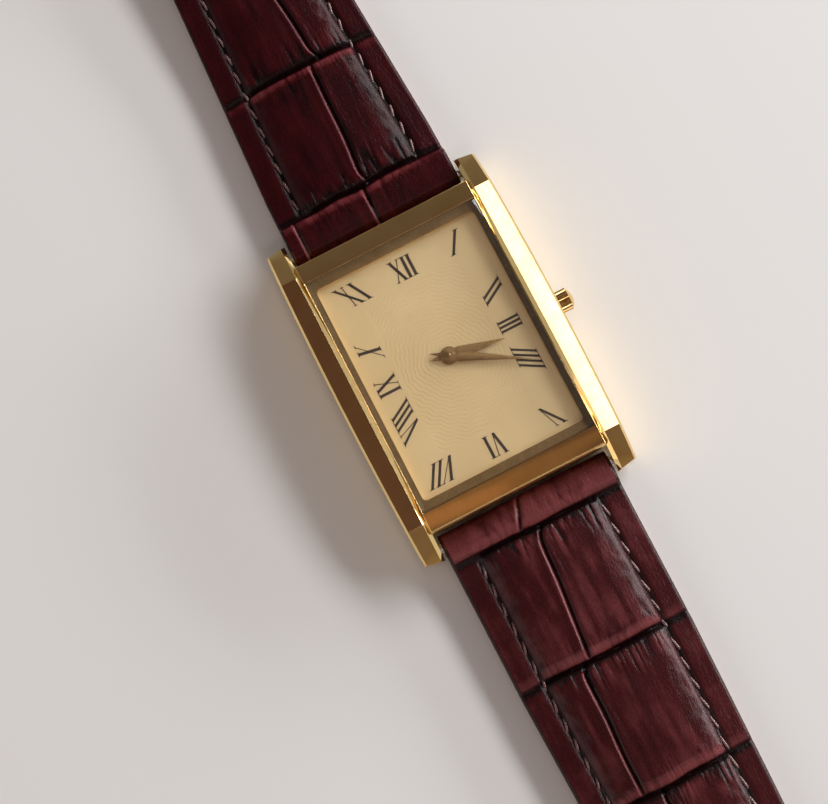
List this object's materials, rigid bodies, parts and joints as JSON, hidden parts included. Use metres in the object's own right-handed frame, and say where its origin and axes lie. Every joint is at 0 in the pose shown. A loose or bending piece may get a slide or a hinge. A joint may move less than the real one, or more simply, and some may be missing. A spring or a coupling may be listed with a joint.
{
  "type": "rectangular wristwatch",
  "caption": "Slim rectangular quartz wristwatch with raised side rails, champagne dial with numerals, and a padded grained leather strap with a tongue buckle",
  "frame": {"origin": "middle of the flat case back, on which the watch rests", "axes": "+Z out of the dial, +Y towards 12 o'clock, +X towards the crown at 3 o'clock"},
  "size_m": [0.0269, 0.2354, 0.0069],
  "materials": {
    "polished_gold": "polished gold plate",
    "hand_gold": "polished gold plate",
    "glass": "clear, polished",
    "dial_champagne": "satin champagne with fine waves",
    "steel": "brushed",
    "dark_steel": "blued grey",
    "train_brass": "stamped",
    "nylon_white": "moulded",
    "resin_black": "moulded",
    "board_green": "solder resist",
    "coil_copper": "enamelled wire",
    "seal_black": "moulded",
    "gasket_clear": "translucent",
    "leather_burgundy": "glazed, large grain",
    "leather_lining": "fine grain"
  },
  "bodies": {
    "case": {"case_middle": "polished_gold", "left_rail": "polished_gold", "right_rail": "polished_gold", "bezel_frame": "polished_gold", "crystal": "glass", "crystal_gasket": "gasket_clear", "case_back": "steel", "case_back_screws": "steel", "case_back_gasket": "seal_black", "movement_holder": "nylon_white", "crown_tube": "steel", "dial": "dial_champagne", "dial_washer": "train_brass", "main_plate": "resin_black", "train_bridge": "steel", "bridge_screws": "dark_steel", "battery": "steel", "battery_insulator": "gasket_clear", "battery_clamp": "steel", "circuit_board": "board_green", "quartz_can": "steel", "driver_chip": "resin_black", "coil_core": "dark_steel", "coil_winding": "coil_copper", "stator": "dark_steel", "bar_tube_12": "steel", "bar_tube_6": "steel"},
    "minute_body": {"center_wheel": "train_brass", "minute_hand": "hand_gold"},
    "hour_body": {"hour_wheel": "train_brass", "hour_hand": "hand_gold"},
    "minute_wheel_body": {"minute_wheel": "train_brass"},
    "third_wheel_body": {"third_wheel": "nylon_white"},
    "intermediate_wheel_body": {"intermediate_wheel": "nylon_white"},
    "rotor_body": {"rotor": "dark_steel"},
    "clutch_body": {"clutch_wheel": "steel"},
    "stem_body": {"winding_stem": "steel", "crown": "polished_gold", "crown_gasket": "seal_black"},
    "setting_lever_body": {"setting_lever": "steel"},
    "short_strap": {"short_strap_top": "leather_burgundy", "short_strap_lining": "leather_lining", "fixed_keeper": "leather_burgundy"},
    "long_strap": {"long_strap_top": "leather_burgundy", "long_strap_lining": "leather_lining"},
    "free_keeper_body": {"free_keeper": "leather_burgundy"},
    "buckle": {"buckle_frame": "polished_gold", "buckle_bar_tube": "steel"},
    "tongue": {"buckle_tongue": "polished_gold"},
    "bar_tip_12_right_body": {"bar_tip_12_right": "steel"},
    "bar_tip_12_left_body": {"bar_tip_12_left": "steel"},
    "bar_tip_6_right_body": {"bar_tip_6_right": "steel"},
    "bar_tip_6_left_body": {"bar_tip_6_left": "steel"},
    "buckle_bar_tip_right_body": {"buckle_bar_tip_right": "steel"},
    "buckle_bar_tip_left_body": {"buckle_bar_tip_left": "steel"}
  },
  "joints": [
    {"name": "minute_turn", "type": "hinge", "parent": "case", "child": "minute_body", "pos_m": [0, 0, 0.0047], "axis": [0, 0, -1], "continuous": true},
    {"name": "hour_turn", "type": "hinge", "parent": "case", "child": "hour_body", "pos_m": [0, 0, 0.0044], "axis": [0, 0, -1], "continuous": true},
    {"name": "minute_wheel_turn", "type": "hinge", "parent": "case", "child": "minute_wheel_body", "pos_m": [0.00187, 0.00108, 0.0033], "axis": [0, 0, -1], "continuous": true},
    {"name": "third_wheel_turn", "type": "hinge", "parent": "case", "child": "third_wheel_body", "pos_m": [-0.00208, 0.0012, 0.002], "axis": [0, 0, -1], "continuous": true},
    {"name": "intermediate_wheel_turn", "type": "hinge", "parent": "case", "child": "intermediate_wheel_body", "pos_m": [-0.0025, 0.00356, 0.002], "axis": [0, 0, -1], "continuous": true},
    {"name": "rotor_turn", "type": "hinge", "parent": "case", "child": "rotor_body", "pos_m": [-0.00039, 0.00433, 0.0022], "axis": [0, 0, -1], "continuous": true},
    {"name": "crown_turn", "type": "hinge", "parent": "case", "child": "clutch_body", "pos_m": [0.0055, 0, 0.00235], "axis": [1, 0, 0], "continuous": true},
    {"name": "crown_pull", "type": "slide", "parent": "clutch_body", "child": "stem_body", "axis": [1, 0, 0], "range_m": [0, 0.0007]},
    {"name": "setting_lever_swing", "type": "hinge", "parent": "case", "child": "setting_lever_body", "pos_m": [0.0066, 0.0024, 0.00183], "axis": [0, 0, 1], "range_deg": [-0.5, 17.5]},
    {"name": "short_strap_swing", "type": "hinge", "parent": "case", "child": "short_strap", "pos_m": [0, 0.01715, 0.0022], "axis": [1, 0, 0], "range_deg": [-70, 55]},
    {"name": "long_strap_swing", "type": "hinge", "parent": "case", "child": "long_strap", "pos_m": [0, -0.01715, 0.0022], "axis": [-1, 0, 0], "range_deg": [-70, 55]},
    {"name": "free_keeper_slide", "type": "slide", "parent": "short_strap", "child": "free_keeper_body", "axis": [0, -1, 0], "range_m": [-0.006, 0.01]},
    {"name": "buckle_swing", "type": "hinge", "parent": "short_strap", "child": "buckle", "pos_m": [0, 0.09115, 0.0023], "axis": [1, 0, 0], "range_deg": [-40, 45]},
    {"name": "tongue_swing", "type": "hinge", "parent": "buckle", "child": "tongue", "pos_m": [0, 0.09115, 0.0023], "axis": [1, 0, 0], "range_deg": [0, 95]},
    {"name": "bar_tip_12_right_press", "type": "slide", "parent": "case", "child": "bar_tip_12_right_body", "axis": [-1, 0, 0], "range_m": [0, 0.00068], "stiffness_N_per_m": 1000, "springref_m": -0.0005},
    {"name": "bar_tip_12_left_press", "type": "slide", "parent": "case", "child": "bar_tip_12_left_body", "axis": [1, 0, 0], "range_m": [0, 0.00068], "stiffness_N_per_m": 1000, "springref_m": -0.0005},
    {"name": "bar_tip_6_right_press", "type": "slide", "parent": "case", "child": "bar_tip_6_right_body", "axis": [-1, 0, 0], "range_m": [0, 0.00068], "stiffness_N_per_m": 1000, "springref_m": -0.0005},
    {"name": "bar_tip_6_left_press", "type": "slide", "parent": "case", "child": "bar_tip_6_left_body", "axis": [1, 0, 0], "range_m": [0, 0.00068], "stiffness_N_per_m": 1000, "springref_m": -0.0005},
    {"name": "buckle_bar_tip_right_press", "type": "slide", "parent": "buckle", "child": "buckle_bar_tip_right_body", "axis": [-1, 0, 0], "range_m": [0, 0.00068], "stiffness_N_per_m": 1000, "springref_m": -0.0005},
    {"name": "buckle_bar_tip_left_press", "type": "slide", "parent": "buckle", "child": "buckle_bar_tip_left_body", "axis": [1, 0, 0], "range_m": [0, 0.00068], "stiffness_N_per_m": 1000, "springref_m": -0.0005}
  ],
  "couplings": [
    {"joint": "hour_turn", "follows": "minute_turn", "ratio": 0.083333},
    {"joint": "minute_wheel_turn", "follows": "minute_turn", "ratio": -0.33333},
    {"joint": "third_wheel_turn", "follows": "minute_turn", "ratio": -3},
    {"joint": "intermediate_wheel_turn", "follows": "minute_turn", "ratio": 15},
    {"joint": "rotor_turn", "follows": "minute_turn", "ratio": -90},
    {"joint": "setting_lever_swing", "follows": "crown_pull", "rad_per_m": 416.67}
  ]
}
